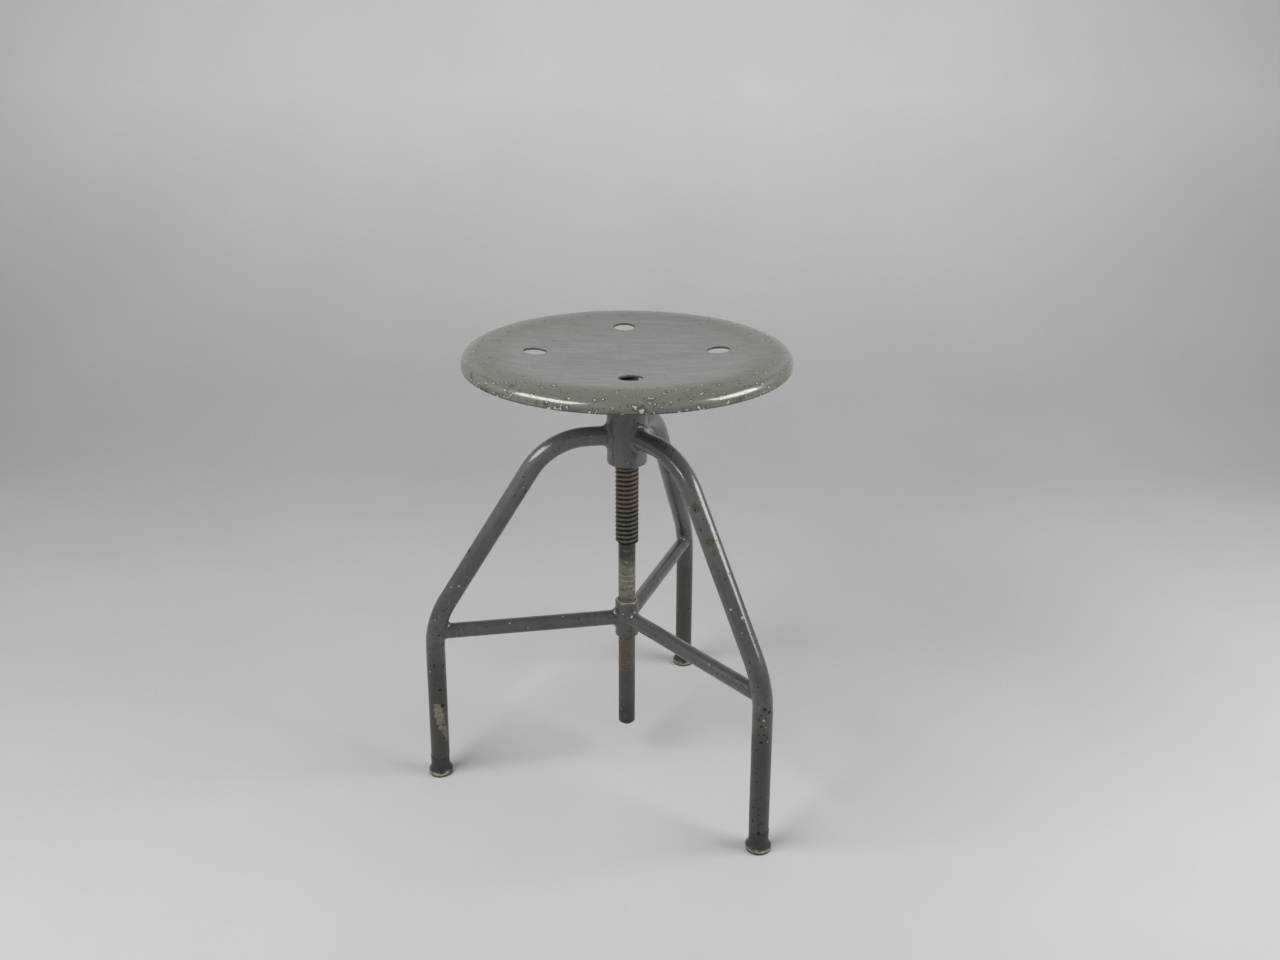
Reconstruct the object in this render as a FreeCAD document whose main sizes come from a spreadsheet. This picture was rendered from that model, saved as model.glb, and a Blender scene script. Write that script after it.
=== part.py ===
import FreeCAD, Part
import math
import os
import Sketcher

# Screw-lift workshop stool: a dished steel seat on a coarse lifting screw, carried by
# a hub on three bent tube legs, with three stretchers that hold a guide collar for the
# rod under the screw. Millimetres, +Z up. The origin is on the floor under the screw's
# axis, the rear leg points along +Y and the seat stands where the photograph shows it.

doc = FreeCAD.newDocument("Stool")

# Driving dimensions, each with the words that describe it
SIZES = [
    ("leg_od", 20.0, "leg tube, outside"),
    ("leg_wall", 2.0, "leg tube, wall"),
    ("foot_radius", 208.0, "screw axis to the centre of a foot"),
    ("foot_splay", 4.0, "how far the foot stands out past the corner of the knee bend"),
    ("knee_height", 187.0, "floor to the corner of the knee bend"),
    ("knee_bend", 100.0, "centre-line radius of the knee bend"),
    ("neck_radius", 78.4, "screw axis to the corner of the upper bend"),
    ("neck_bend", 70.0, "centre-line radius of the upper bend"),
    ("arm_height", 384.0, "floor to the arms' centre line"),
    ("rear_leg_angle", 90.0, "direction of the rear leg, in degrees"),
    ("leg_step_angle", 120.0, "turn from one leg to the next, in degrees"),
    ("stretcher_od", 16.0, "stretcher tube, outside"),
    ("stretcher_wall", 1.5, "stretcher tube, wall"),
    ("stretcher_height", 175.5, "floor to the stretchers' centre line"),
    ("hub_od", 41.0, "hub, outside"),
    ("hub_below", 29.5, "hub, from the arms' centre line down"),
    ("hub_above", 40.0, "hub, from the arms' centre line up"),
    ("hub_edge", 1.5, "rounding of the hub's outer edges"),
    ("collar_od", 25.0, "guide collar, outside"),
    ("collar_bore", 20.0, "guide collar, bore"),
    ("collar_length", 42.0, "guide collar, length"),
    ("collar_edge", 2.0, "rounding of the guide collar's outer edges"),
    ("foot_joint", 23.0, "floor to the joint between foot and tube"),
    ("foot_od", 25.6, "foot, at its widest"),
    ("foot_land", 4.5, "height of the foot's straight side"),
    ("foot_round", 0.5, "rounding from the foot's side to its sole"),
    ("foot_flare", 8.0, "height over which the foot widens"),
    ("spigot_length", 16.0, "foot spigot inside the leg tube"),
    ("screw_od", 24.0, "lifting screw, over the thread"),
    ("thread_depth", 2.75, "lifting screw, depth of the thread"),
    ("screw_length", 198.3, "lifting screw, from the plate under the seat to its lower end"),
    ("thread_shown", 38.8, "screw between the hub and that plate, as the seat stands now"),
    ("running_gap", 0.05, "radial clearance of the running fits"),
    ("end_gap", 0.4, "clearance between faces that turn past each other"),
    ("rod_od", 18.0, "guide rod, outside"),
    ("rod_length", 221.6, "guide rod, below the screw"),
    ("rod_edge", 2.0, "bevel at the guide rod's lower end"),
    ("journal_od", 13.0, "guide rod's journal in the screw"),
    ("journal_length", 24.0, "length of that journal"),
    ("seat_od", 324.0, "seat pan, over the rim"),
    ("crest_radius", 134.0, "screw axis to the highest ring of the seat"),
    ("crest_bend", 20.0, "radius over that ring, the crest"),
    ("shoulder_slope", 8.0, "fall of the shoulder outside the crest, in degrees"),
    ("rim_bend", 8.0, "outer radius of the bend from the shoulder down into the rim"),
    ("rim_drop", 4.0, "straight side of the rim below that bend"),
    ("sheet", 2.0, "thickness of the seat's sheet"),
    ("dish_bend", 740.0, "radius of the dish"),
    ("dish_flat", 40.0, "radius of the dish's flat middle"),
    ("hole_circle_diameter", 180.0, "circle through the centres of the seat's holes"),
    ("hole_od", 22.0, "seat's holes"),
    ("hole_count", 4, "number of holes in the seat"),
    ("hole_angle", 22.5, "turn of the first hole from +X, in degrees"),
    ("plate_od", 72.0, "plate under the seat"),
    ("plate_thickness", 5.0, "its thickness"),
    ("screw_top_od", 18.0, "screw's spigot in the plate"),
    ("hub_braze", 6.5, "fillet of braze at the hub"),
    ("knee_braze", 4.0, "fillet of braze at the knees"),
    ("collar_braze", 5.5, "fillet of braze at the collar"),
    ("plate_bead", 4.0, "weld beads under the seat"),
]
# Points and radii nearer than this are taken as the same
SAME_PLACE = 0.01
# Points tested along an edge to see where it runs
EDGE_SAMPLES = 7

sheet = doc.addObject("Spreadsheet::Sheet", "Sizes")
for row, (alias, value, words) in enumerate(SIZES, start=1):
    sheet.set(f"A{row}", words)
    sheet.set(f"B{row}", str(value))
    sheet.setAlias(f"B{row}", alias)
doc.recompute()


def value_of(expression):
    """The number that an expression of the sheet's sizes has now."""
    result = sheet.evalExpression(str(expression))
    return float(getattr(result, "Value", result))


def size(alias):
    """A size of the sheet, as a term for an expression."""
    return f"Sizes.{alias}"


def origin_plane(body, role):
    """One of a body's own origin planes."""
    return next(f for f in body.Origin.OriginFeatures if f.Role == role)


def new_body(name):
    body = doc.addObject("PartDesign::Body", name)
    body.Label = name
    return body


def new_sketch(body, name, role, offset=None):
    """A sketch on an origin plane, moved along that plane's normal by offset."""
    sketch = body.newObject("Sketcher::SketchObject", name)
    sketch.AttachmentSupport = [(origin_plane(body, role), "")]
    sketch.MapMode = "FlatFace"
    if offset is not None:
        sketch.setExpression("AttachmentOffset.Base.z", offset)
    return sketch


def hold(sketch, part, position, corner):
    """Ties a point of a sketch to two expressions, its distances from the origin."""
    for kind, axis, place in (("DistanceX", -2, corner[0]), ("DistanceY", -1, corner[1])):
        if value_of(place) == 0:
            sketch.addConstraint(Sketcher.Constraint("PointOnObject", part, position, axis))
            continue
        number = sketch.addConstraint(
            Sketcher.Constraint(kind, -1, 1, part, position, value_of(place))
        )
        sketch.setExpression(f"Constraints[{number}]", place)


def arc_between(start, end, radius, turn):
    """The shorter arc from start to end: turn is 1 for anticlockwise and -1 for clockwise."""
    chord = FreeCAD.Vector(end[0] - start[0], end[1] - start[1], 0)
    middle = FreeCAD.Vector((start[0] + end[0]) / 2, (start[1] + end[1]) / 2, 0)
    side = FreeCAD.Vector(-chord.y, chord.x, 0).normalize()
    height = math.sqrt(max(radius**2 - (chord.Length / 2) ** 2, 0))
    centre = middle + side * height * turn
    first = math.atan2(start[1] - centre.y, start[0] - centre.x)
    last = math.atan2(end[1] - centre.y, end[0] - centre.x)
    if turn < 0:
        first, last = last, first
    circle = Part.Circle(centre, FreeCAD.Vector(0, 0, 1), radius)
    return Part.ArcOfCircle(circle, first, last if last > first else last + 2 * math.pi)


def draw(sketch, corners, arcs=None, closed=True):
    """Draws lines through corners given as expressions. arcs gives the sides that are
    arcs, by number, as (radius, turn), where the radius is an expression too."""
    arcs = arcs or {}
    points = [(value_of(a), value_of(b)) for a, b in corners]
    count = len(corners) if closed else len(corners) - 1
    starts, ends = {}, {}
    for side in range(count):
        here, there = points[side], points[(side + 1) % len(points)]
        starts[side], ends[side] = 1, 2
        if side in arcs:
            radius, turn = arcs[side]
            geometry = arc_between(here, there, value_of(radius), turn)
            if turn < 0:
                starts[side], ends[side] = 2, 1
        else:
            geometry = Part.LineSegment(FreeCAD.Vector(*here, 0), FreeCAD.Vector(*there, 0))
        sketch.addGeometry(geometry, False)
    for side in range(count if closed else count - 1):
        after = (side + 1) % count
        sketch.addConstraint(
            Sketcher.Constraint("Coincident", side, ends[side], after, starts[after])
        )
    for side in range(count):
        hold(sketch, side, starts[side], corners[side])
        if side in arcs:
            radius = arcs[side][0]
            number = sketch.addConstraint(
                Sketcher.Constraint("Radius", side, value_of(radius))
            )
            sketch.setExpression(f"Constraints[{number}]", radius)
    if not closed:
        hold(sketch, count - 1, ends[count - 1], corners[-1])
    return sketch


def draw_circle(sketch, centre, diameter):
    """A circle held by its centre and diameter, all expressions."""
    place = FreeCAD.Vector(value_of(centre[0]), value_of(centre[1]), 0)
    circle = Part.Circle(place, FreeCAD.Vector(0, 0, 1), value_of(diameter) / 2)
    part = sketch.addGeometry(circle, False)
    if value_of(centre[0]) == 0 and value_of(centre[1]) == 0:
        sketch.addConstraint(Sketcher.Constraint("Coincident", part, 3, -1, 1))
    else:
        hold(sketch, part, 3, centre)
    number = sketch.addConstraint(Sketcher.Constraint("Diameter", part, value_of(diameter)))
    sketch.setExpression(f"Constraints[{number}]", diameter)
    return sketch


def revolve(body, name, corners, arcs=None, kind="PartDesign::Revolution"):
    """Turns an outline of (radius, height) corners about the body's upright axis."""
    sketch = draw(new_sketch(body, name + "_section", "XZ_Plane"), corners, arcs)
    feature = body.newObject(kind, name)
    feature.Profile = (sketch, [""])
    feature.ReferenceAxis = (sketch, ["V_Axis"])
    feature.Angle = 360
    return feature


def pad_along_x(body, name, height, diameters, length):
    """A round bar or tube along +X from the upright axis, at a height."""
    sketch = new_sketch(body, name + "_section", "YZ_Plane")
    for diameter in diameters:
        draw_circle(sketch, ("0", height), diameter)
    pad = body.newObject("PartDesign::Pad", name)
    pad.Profile = (sketch, [""])
    pad.setExpression("Length", length)
    return pad


def edges_where(shape, test):
    """Names of a shape's edges that pass a test."""
    return [f"Edge{i}" for i, edge in enumerate(shape.Edges, start=1) if test(edge)]


def dress(body, kind, name, test, size_name, amount):
    """A Fillet or Chamfer on the edges of the body that pass a test."""
    doc.recompute()
    base = body.Tip
    names = edges_where(base.Shape, test)
    if not names:
        raise RuntimeError(f"{name} finds no edge")
    feature = body.newObject(kind, name)
    feature.Base = (base, names)
    feature.setExpression(size_name, amount)
    return feature


def is_circle(edge, radius):
    curve = edge.Curve
    return isinstance(curve, Part.Circle) and abs(curve.Radius - radius) < SAME_PLACE


def turn_to_leg(body, number):
    """Turns what was drawn on the XZ plane to the leg of this number."""
    body.Placement = FreeCAD.Placement(
        FreeCAD.Vector(), FreeCAD.Rotation(FreeCAD.Vector(0, 0, 1), 1)
    )
    turn = f"{size('rear_leg_angle')} + {number} * {size('leg_step_angle')}"
    body.setExpression("Placement.Rotation.Angle", f"({turn}) * 1 deg")


# The legs' centre line, as expressions: out from the hub, round the upper bend, down the
# slope, round the knee and down to the floor. Angles are measured from straight down.
KNEE_RADIUS = f"({size('foot_radius')} - {size('foot_splay')})"
SLOPE = "atan2({} - {}; {} - {})".format(
    KNEE_RADIUS, size("neck_radius"), size("arm_height"), size("knee_height")
)
SPLAY = f"atan2({size('foot_splay')}; {size('knee_height')})"
NECK_RUN = f"{size('neck_bend')} * tan((90 deg - {SLOPE}) / 2)"
KNEE_RUN = f"{size('knee_bend')} * tan(({SLOPE} - {SPLAY}) / 2)"
ARM_START = f"{size('hub_od')} / 4"
LEG_CORNERS = [
    (ARM_START, size("arm_height")),
    (f"{size('neck_radius')} - {NECK_RUN}", size("arm_height")),
    (
        f"{size('neck_radius')} + {NECK_RUN} * sin({SLOPE})",
        f"{size('arm_height')} - {NECK_RUN} * cos({SLOPE})",
    ),
    (
        f"{KNEE_RADIUS} - {KNEE_RUN} * sin({SLOPE})",
        f"{size('knee_height')} + {KNEE_RUN} * cos({SLOPE})",
    ),
    (
        f"{KNEE_RADIUS} + {KNEE_RUN} * sin({SPLAY})",
        f"{size('knee_height')} - {KNEE_RUN} * cos({SPLAY})",
    ),
    (size("foot_radius"), "0"),
]
LEG_ARCS = {1: (size("neck_bend"), -1), 3: (size("knee_bend"), -1)}


def leg_pipe(body, name, diameter, kind):
    """Sweeps a disc along the legs' centre line, added to the body or cut from it."""
    path = draw(
        new_sketch(body, name + "_path", "XZ_Plane"), LEG_CORNERS, LEG_ARCS, closed=False
    )
    section = new_sketch(body, name + "_section", "YZ_Plane", ARM_START)
    draw_circle(section, ("0", size("arm_height")), diameter)
    pipe = body.newObject(kind, name)
    pipe.Profile = (section, [""])
    pipe.Spine = (path, [f"Edge{i + 1}" for i in range(len(LEG_CORNERS) - 1)])
    return pipe


def ring_corners(inner, outer, low, high):
    return [(inner, low), (outer, low), (outer, high), (inner, high)]


LEG_BORE = f"({size('leg_od')} - 2 * {size('leg_wall')})"
HUB_LOW = f"({size('arm_height')} - {size('hub_below')})"
HUB_HIGH = f"({size('arm_height')} + {size('hub_above')})"
COLLAR_LOW = f"({size('stretcher_height')} - {size('collar_length')} / 2)"
COLLAR_HIGH = f"({size('stretcher_height')} + {size('collar_length')} / 2)"
# The stretchers run at a height inside the knee bend, so their length is to the bend's
# corner and the leg's own outside trims them.
STRETCHER_REACH = KNEE_RADIUS


def make_leg(name, number):
    """Bent tube, coped to the hub at the top and cut level at the foot joint."""
    body = new_body(name)
    leg_pipe(body, name + "_tube", size("leg_od"), "PartDesign::AdditivePipe")
    leg_pipe(body, name + "_bore", LEG_BORE, "PartDesign::SubtractivePipe")
    cope = ring_corners("0", f"{size('hub_od')} / 2", HUB_LOW, HUB_HIGH)
    revolve(body, name + "_cope", cope, kind="PartDesign::Groove")
    foot_cut = ring_corners(
        f"{size('foot_radius')} - {size('leg_od')}",
        f"{size('foot_radius')} + {size('leg_od')}",
        f"-{size('leg_od')}",
        size("foot_joint"),
    )
    sketch = draw(new_sketch(body, name + "_end_section", "XZ_Plane"), foot_cut)
    pocket = body.newObject("PartDesign::Pocket", name + "_end")
    pocket.Profile = (sketch, [""])
    pocket.Midplane = True
    pocket.setExpression("Length", f"2 * {size('leg_od')}")
    turn_to_leg(body, number)
    return body


def make_foot(name, number):
    """Turned steel foot: an upright flared sole, and a spigot that follows the tube."""
    body = new_body(name)
    side = f"{size('foot_od')} / 2"
    neck = f"{size('leg_od')} / 2"
    sole = f"{size('foot_od')} / 2 - {size('foot_round')}"
    land_top = f"{size('foot_round')} + {size('foot_land')}"
    corners = [
        ("0", "0"),
        (sole, "0"),
        (side, size("foot_round")),
        (side, land_top),
        (neck, f"{land_top} + {size('foot_flare')}"),
        (neck, size("foot_joint")),
        ("0", size("foot_joint")),
    ]
    flare_bend = f"(({side} - {neck}) ^ 2 + {size('foot_flare')} ^ 2) / (2 * ({side} - {neck}))"
    sketch = draw(
        new_sketch(body, name + "_section", "XZ_Plane"),
        corners,
        {1: (size("foot_round"), 1), 3: (flare_bend, -1)},
    )
    sketch.setExpression("AttachmentOffset.Base.x", size("foot_radius"))
    turned = body.newObject("PartDesign::Revolution", name + "_turned")
    turned.Profile = (sketch, [""])
    turned.ReferenceAxis = (sketch, ["V_Axis"])
    turned.Angle = 360
    spigot_od = f"{LEG_BORE} - 2 * {size('running_gap')}"

    def tube_centre(height):
        return f"{size('foot_radius')} - ({height}) * tan({SPLAY})"

    top = f"{size('foot_joint')} + {size('spigot_length')}"
    section = new_sketch(body, name + "_spigot_section", "XY_Plane", size("foot_joint"))
    draw_circle(section, (tube_centre(size("foot_joint")), "0"), spigot_od)
    path = draw(
        new_sketch(body, name + "_spigot_path", "XZ_Plane"),
        [(tube_centre(size("foot_joint")), size("foot_joint")), (tube_centre(top), top)],
        closed=False,
    )
    pipe = body.newObject("PartDesign::AdditivePipe", name + "_spigot")
    pipe.Profile = (section, [""])
    pipe.Spine = (path, ["Edge1"])
    turn_to_leg(body, number)
    return body


def make_stretcher(name, number):
    """Straight tube, coped to the guide collar and to the outside of the leg's bend."""
    body = new_body(name)
    bore = f"{size('stretcher_od')} - 2 * {size('stretcher_wall')}"
    pad_along_x(
        body,
        name + "_tube",
        size("stretcher_height"),
        [size("stretcher_od"), bore],
        STRETCHER_REACH,
    )
    cope = ring_corners("0", f"{size('collar_od')} / 2", COLLAR_LOW, COLLAR_HIGH)
    revolve(body, name + "_cope", cope, kind="PartDesign::Groove")
    leg_pipe(body, name + "_notch", size("leg_od"), "PartDesign::SubtractivePipe")
    turn_to_leg(body, number)
    return body


def make_hub():
    """Turned boss with the nut thread's bore, bevelled at both mouths."""
    body = new_body("hub")
    bore = f"{size('screw_od')} / 2 + {size('running_gap')}"
    revolve(body, "hub_turned", ring_corners(bore, f"{size('hub_od')} / 2", HUB_LOW, HUB_HIGH))
    outside, inside = value_of(f"{size('hub_od')} / 2"), value_of(bore)
    dress(
        body,
        "PartDesign::Fillet",
        "hub_edges",
        lambda edge: is_circle(edge, outside),
        "Radius",
        size("hub_edge"),
    )
    dress(
        body,
        "PartDesign::Chamfer",
        "hub_mouths",
        lambda edge: is_circle(edge, inside),
        "Size",
        f"{size('thread_depth')} / 2",
    )
    return body


def make_collar():
    """Short tube that guides the rod, its outer edges rounded."""
    body = new_body("guide_collar")
    corners = ring_corners(
        f"{size('collar_bore')} / 2", f"{size('collar_od')} / 2", COLLAR_LOW, COLLAR_HIGH
    )
    revolve(body, "collar_turned", corners)
    outside = value_of(f"{size('collar_od')} / 2")
    dress(
        body,
        "PartDesign::Fillet",
        "collar_edges",
        lambda edge: is_circle(edge, outside),
        "Radius",
        size("collar_edge"),
    )
    return body


# Heights of the parts that rise with the seat, as expressions, counted up from the hub and
# down the screw. The dish's arc runs tangent from the flat middle into the crest's arc,
# whose centre lies CREST_Z high under the crest.
PLATE_UNDER = f"({HUB_HIGH} + {size('thread_shown')})"
PAN_UNDER = f"({PLATE_UNDER} + {size('plate_thickness')})"
PAN_TOP = f"({PAN_UNDER} + {size('sheet')})"
DISH_Z = f"({PAN_TOP} + {size('dish_bend')})"
DISH_SUM = f"({size('dish_bend')} + {size('crest_bend')})"
CREST_RUN = f"({size('crest_radius')} - {size('dish_flat')})"
DISH_SINE = f"({CREST_RUN} / {DISH_SUM})"
DISH_COSINE = f"sqrt(1 - {DISH_SINE} ^ 2)"
CREST_Z = f"({DISH_Z} - {DISH_SUM} * {DISH_COSINE})"
SCREW_LOW = f"({PLATE_UNDER} - {size('screw_length')})"
ROD_SHOULDER = f"({SCREW_LOW} - {size('end_gap')})"
ROD_LOW = f"({ROD_SHOULDER} - {size('rod_length')})"


def make_rod():
    """Plain bar under the screw, with a journal that turns in the screw's socket."""
    body = new_body("guide_rod")
    rod, journal = f"{size('rod_od')} / 2", f"{size('journal_od')} / 2"
    corners = [
        ("0", ROD_LOW),
        (f"{rod} - {size('rod_edge')}", ROD_LOW),
        (rod, f"{ROD_LOW} + {size('rod_edge')}"),
        (rod, ROD_SHOULDER),
        (journal, ROD_SHOULDER),
        (journal, f"{ROD_SHOULDER} + {size('journal_length')}"),
        ("0", f"{ROD_SHOULDER} + {size('journal_length')}"),
    ]
    revolve(body, "rod_turned", corners)
    return body


def make_screw():
    """Lifting screw over its thread's crests, with a socket below and a spigot above."""
    body = new_body("screw")
    major = f"{size('screw_od')} / 2"
    root = f"{major} - {size('thread_depth')}"
    socket = f"{size('journal_od')} / 2 + {size('running_gap')}"
    socket_top = f"{SCREW_LOW} + {size('journal_length')} + {size('end_gap')}"
    corners = [
        (socket, SCREW_LOW),
        (root, SCREW_LOW),
        (major, f"{SCREW_LOW} + {size('thread_depth')} / 2"),
        (major, PLATE_UNDER),
        (f"{size('screw_top_od')} / 2", PLATE_UNDER),
        (f"{size('screw_top_od')} / 2", PAN_UNDER),
        ("0", PAN_UNDER),
        ("0", socket_top),
        (socket, socket_top),
    ]
    revolve(body, "screw_turned", corners)
    return body


def make_plate():
    """Disc that joins the screw to the seat."""
    body = new_body("seat_plate")
    corners = ring_corners(
        f"{size('screw_top_od')} / 2", f"{size('plate_od')} / 2", PLATE_UNDER, PAN_UNDER
    )
    revolve(body, "plate_turned", corners)
    return body


def make_bead(name, radius, height):
    """Ring of weld in the corner under a flat face and round an upright wall."""
    body = new_body(name)
    corners = [
        (radius, height),
        (radius, f"{height} - {size('plate_bead')}"),
        (f"{radius} + {size('plate_bead')}", height),
    ]
    revolve(body, name + "_turned", corners)
    return body


def make_pan():
    """Pressed sheet: flat middle, shallow dish, crest, sloping shoulder and a turned-down
    rim. The shoulder's line touches the crest's arc and the rim's."""
    body = new_body("seat_pan")
    rim_out = f"{size('seat_od')} / 2"
    rim_in = f"{rim_out} - {size('sheet')}"
    fall = f"({size('shoulder_slope')} * 1 deg)"
    bend_r = f"({rim_out} - {size('rim_bend')})"
    bend_z = (
        f"({CREST_Z} + ({size('crest_bend')} - {size('rim_bend')}) / cos({fall})"
        f" - ({bend_r} - {size('crest_radius')}) * tan({fall}))"
    )
    rim_low = f"{bend_z} - {size('rim_drop')}"

    def on_dish(radius):
        return (
            f"{size('dish_flat')} + ({radius}) * {DISH_SINE}",
            f"{DISH_Z} - ({radius}) * {DISH_COSINE}",
        )

    def on_crest(radius):
        return (
            f"{size('crest_radius')} + ({radius}) * sin({fall})",
            f"{CREST_Z} + ({radius}) * cos({fall})",
        )

    def on_bend(radius):
        return (f"{bend_r} + ({radius}) * sin({fall})", f"{bend_z} + ({radius}) * cos({fall})")

    dish, crest, bend = size("dish_bend"), size("crest_bend"), size("rim_bend")
    thick = size("sheet")
    corners = [
        ("0", PAN_TOP),
        (size("dish_flat"), PAN_TOP),
        on_dish(dish),
        on_crest(crest),
        on_bend(bend),
        (rim_out, bend_z),
        (rim_out, rim_low),
        (rim_in, rim_low),
        (rim_in, bend_z),
        on_bend(f"{bend} - {thick}"),
        on_crest(f"{crest} - {thick}"),
        on_dish(f"{dish} + {thick}"),
        (size("dish_flat"), PAN_UNDER),
        ("0", PAN_UNDER),
    ]
    arcs = {
        1: (dish, 1),
        2: (crest, -1),
        4: (bend, -1),
        8: (f"{bend} - {thick}", 1),
        10: (f"{crest} - {thick}", 1),
        11: (f"{dish} + {thick}", -1),
    }
    revolve(body, "pan_pressed", corners, arcs)
    hole = new_sketch(body, "pan_hole_section", "XY_Plane", PAN_UNDER)
    centre = (
        f"{size('hole_circle_diameter')} / 2 * cos({size('hole_angle')} * 1 deg)",
        f"{size('hole_circle_diameter')} / 2 * sin({size('hole_angle')} * 1 deg)",
    )
    draw_circle(hole, centre, size("hole_od"))
    pocket = body.newObject("PartDesign::Pocket", "pan_hole")
    pocket.Profile = (hole, [""])
    pocket.Type = "ThroughAll"
    pocket.Midplane = True
    pattern = body.newObject("PartDesign::PolarPattern", "pan_holes")
    pattern.Originals = [pocket]
    pattern.Axis = (hole, ["N_Axis"])
    pattern.Angle = 360
    pattern.setExpression("Occurrences", size("hole_count"))
    body.Tip = pattern
    return body


def upright_bar(name, diameter, low, high):
    """A plain upright cylinder on the screw's axis."""
    bar = doc.addObject("Part::Cylinder", name)
    bar.setExpression("Radius", f"{diameter} / 2")
    bar.setExpression("Height", f"{high} - {low}")
    bar.setExpression("Placement.Base.z", low)
    return bar


def level_bar(name, diameter, height, start, length):
    """A plain cylinder along +X."""
    bar = doc.addObject("Part::Cylinder", name)
    bar.Placement.Rotation = FreeCAD.Rotation(FreeCAD.Vector(0, 1, 0), 90)
    bar.setExpression("Radius", f"{diameter} / 2")
    bar.setExpression("Height", length)
    bar.setExpression("Placement.Base.x", start)
    bar.setExpression("Placement.Base.z", height)
    return bar


def seam_edges(shape, radius, height, free_end):
    """Numbers of the edges where a bar along +X leaves the form that it runs into: they
    lie on the bar all round, are not straight and are not its free end."""
    found = []
    for number, edge in enumerate(shape.Edges, start=1):
        points = edge.discretize(EDGE_SAMPLES)
        on_bar = all(
            abs(math.hypot(point.y, point.z - height) - radius) < SAME_PLACE
            for point in points
        )
        at_end = all(abs(point.x - free_end) < SAME_PLACE for point in points)
        if on_bar and not at_end and not isinstance(edge.Curve, Part.Line):
            found.append(number)
    return found


def make_braze(name, number, trunk, bar, free_end, radius):
    """The fillet of braze where a bar along +X runs into a trunk: the two are joined,
    their seam is rounded off, and both are taken away again."""
    joined = doc.addObject("Part::Fuse", name + "_joined")
    joined.Base, joined.Tool = trunk, bar
    doc.recompute()
    seam = seam_edges(
        joined.Shape, bar.Radius.Value, bar.Placement.Base.z, value_of(free_end)
    )
    if not seam:
        raise RuntimeError(f"{name} finds no seam")
    rounded = doc.addObject("Part::Fillet", name + "_rounded")
    rounded.Base = joined
    amount = value_of(radius)
    rounded.Edges = [(edge, amount, amount) for edge in seam]
    bare = doc.addObject("Part::Cut", name + "_bare")
    bare.Base, bare.Tool = rounded, trunk
    braze = doc.addObject("Part::Cut", name)
    braze.Base, braze.Tool = bare, bar
    braze.Label = name
    turn_to_leg(braze, number)
    return braze


def leg_form():
    """The outside of a leg as a solid bar, for the seam at the knee."""
    body = new_body("leg_outside")
    leg_pipe(body, "leg_outside_bar", size("leg_od"), "PartDesign::AdditivePipe")
    return body


BAR_REACH = f"2 * {size('leg_od')}"
hub_form = upright_bar("hub_outside", size("hub_od"), HUB_LOW, HUB_HIGH)
arm_form = level_bar("arm_outside", size("leg_od"), size("arm_height"), "0", BAR_REACH)
collar_form = upright_bar("collar_outside", size("collar_od"), COLLAR_LOW, COLLAR_HIGH)
inner_form = level_bar(
    "stretcher_inner_end", size("stretcher_od"), size("stretcher_height"), "0", BAR_REACH
)
outer_start = f"{KNEE_RADIUS} - {BAR_REACH}"
outer_form = level_bar(
    "stretcher_outer_end", size("stretcher_od"), size("stretcher_height"), outer_start, BAR_REACH
)
knee_form = leg_form()

frame_parts = [make_hub(), make_collar()]
LEGS = [("rear", 0), ("left", 1), ("right", 2)]
for word, number in LEGS:
    frame_parts.append(make_leg(f"leg_{word}", number))
    frame_parts.append(make_foot(f"foot_{word}", number))
    frame_parts.append(make_stretcher(f"stretcher_{word}", number))
    for joint, trunk, bar, free_end in (
        ("hub", hub_form, arm_form, BAR_REACH),
        ("knee", knee_form, outer_form, outer_start),
        ("collar", collar_form, inner_form, BAR_REACH),
    ):
        braze_size = size(f"{joint}_braze")
        frame_parts.append(
            make_braze(f"{joint}_braze_{word}", number, trunk, bar, free_end, braze_size)
        )
lift_parts = [make_rod(), make_screw(), make_plate(), make_pan()]
lift_parts.append(make_bead("screw_weld", f"{size('screw_od')} / 2", PLATE_UNDER))
lift_parts.append(make_bead("pan_weld", f"{size('plate_od')} / 2", PAN_UNDER))
doc.recompute()

parts = frame_parts + lift_parts
faults = [o.Name for o in doc.Objects if set(o.State) & {"Invalid", "Error"}]
faults += [p.Label for p in parts if p.Shape.isNull() or not p.Shape.isValid()]
if faults:
    raise RuntimeError(f"these did not build: {faults}")

os.makedirs("parts", exist_ok=True)
for part in parts:
    part.Shape.exportStep(f"parts/{part.Label}.step")
    print(part.Label, round(part.Shape.Volume, 1), part.Shape.BoundBox)
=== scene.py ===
import bmesh
import bpy
import math
from functools import partial
from mathutils import Matrix, Vector


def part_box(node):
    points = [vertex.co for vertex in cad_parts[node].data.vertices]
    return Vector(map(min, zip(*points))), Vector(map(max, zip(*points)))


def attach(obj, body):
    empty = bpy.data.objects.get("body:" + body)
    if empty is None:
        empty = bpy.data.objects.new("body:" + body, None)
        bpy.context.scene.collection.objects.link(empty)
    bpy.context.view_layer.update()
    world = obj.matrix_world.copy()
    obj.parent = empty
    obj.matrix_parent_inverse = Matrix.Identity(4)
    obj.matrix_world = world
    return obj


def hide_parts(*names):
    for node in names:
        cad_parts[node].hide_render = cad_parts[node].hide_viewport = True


# The looks of a screw-lift workshop stool: a pressed and enamelled steel seat, its lifting
# screw, guide rod, painted tube frame and worn feet, on a pale studio floor. Metres, +Z up,
# the origin is on the floor under the screw and the rear leg points along +Y.

bl_info = {
    "name": "Workshop stool",
    "version": (1, 0, 0),
    "blender": (4, 5, 0),
    "location": "View3D > Sidebar > Stool",
    "description": "Dresses the frame of a screw-lift stool with worn enamel and steel",
    "category": "Add Mesh",
}

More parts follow.
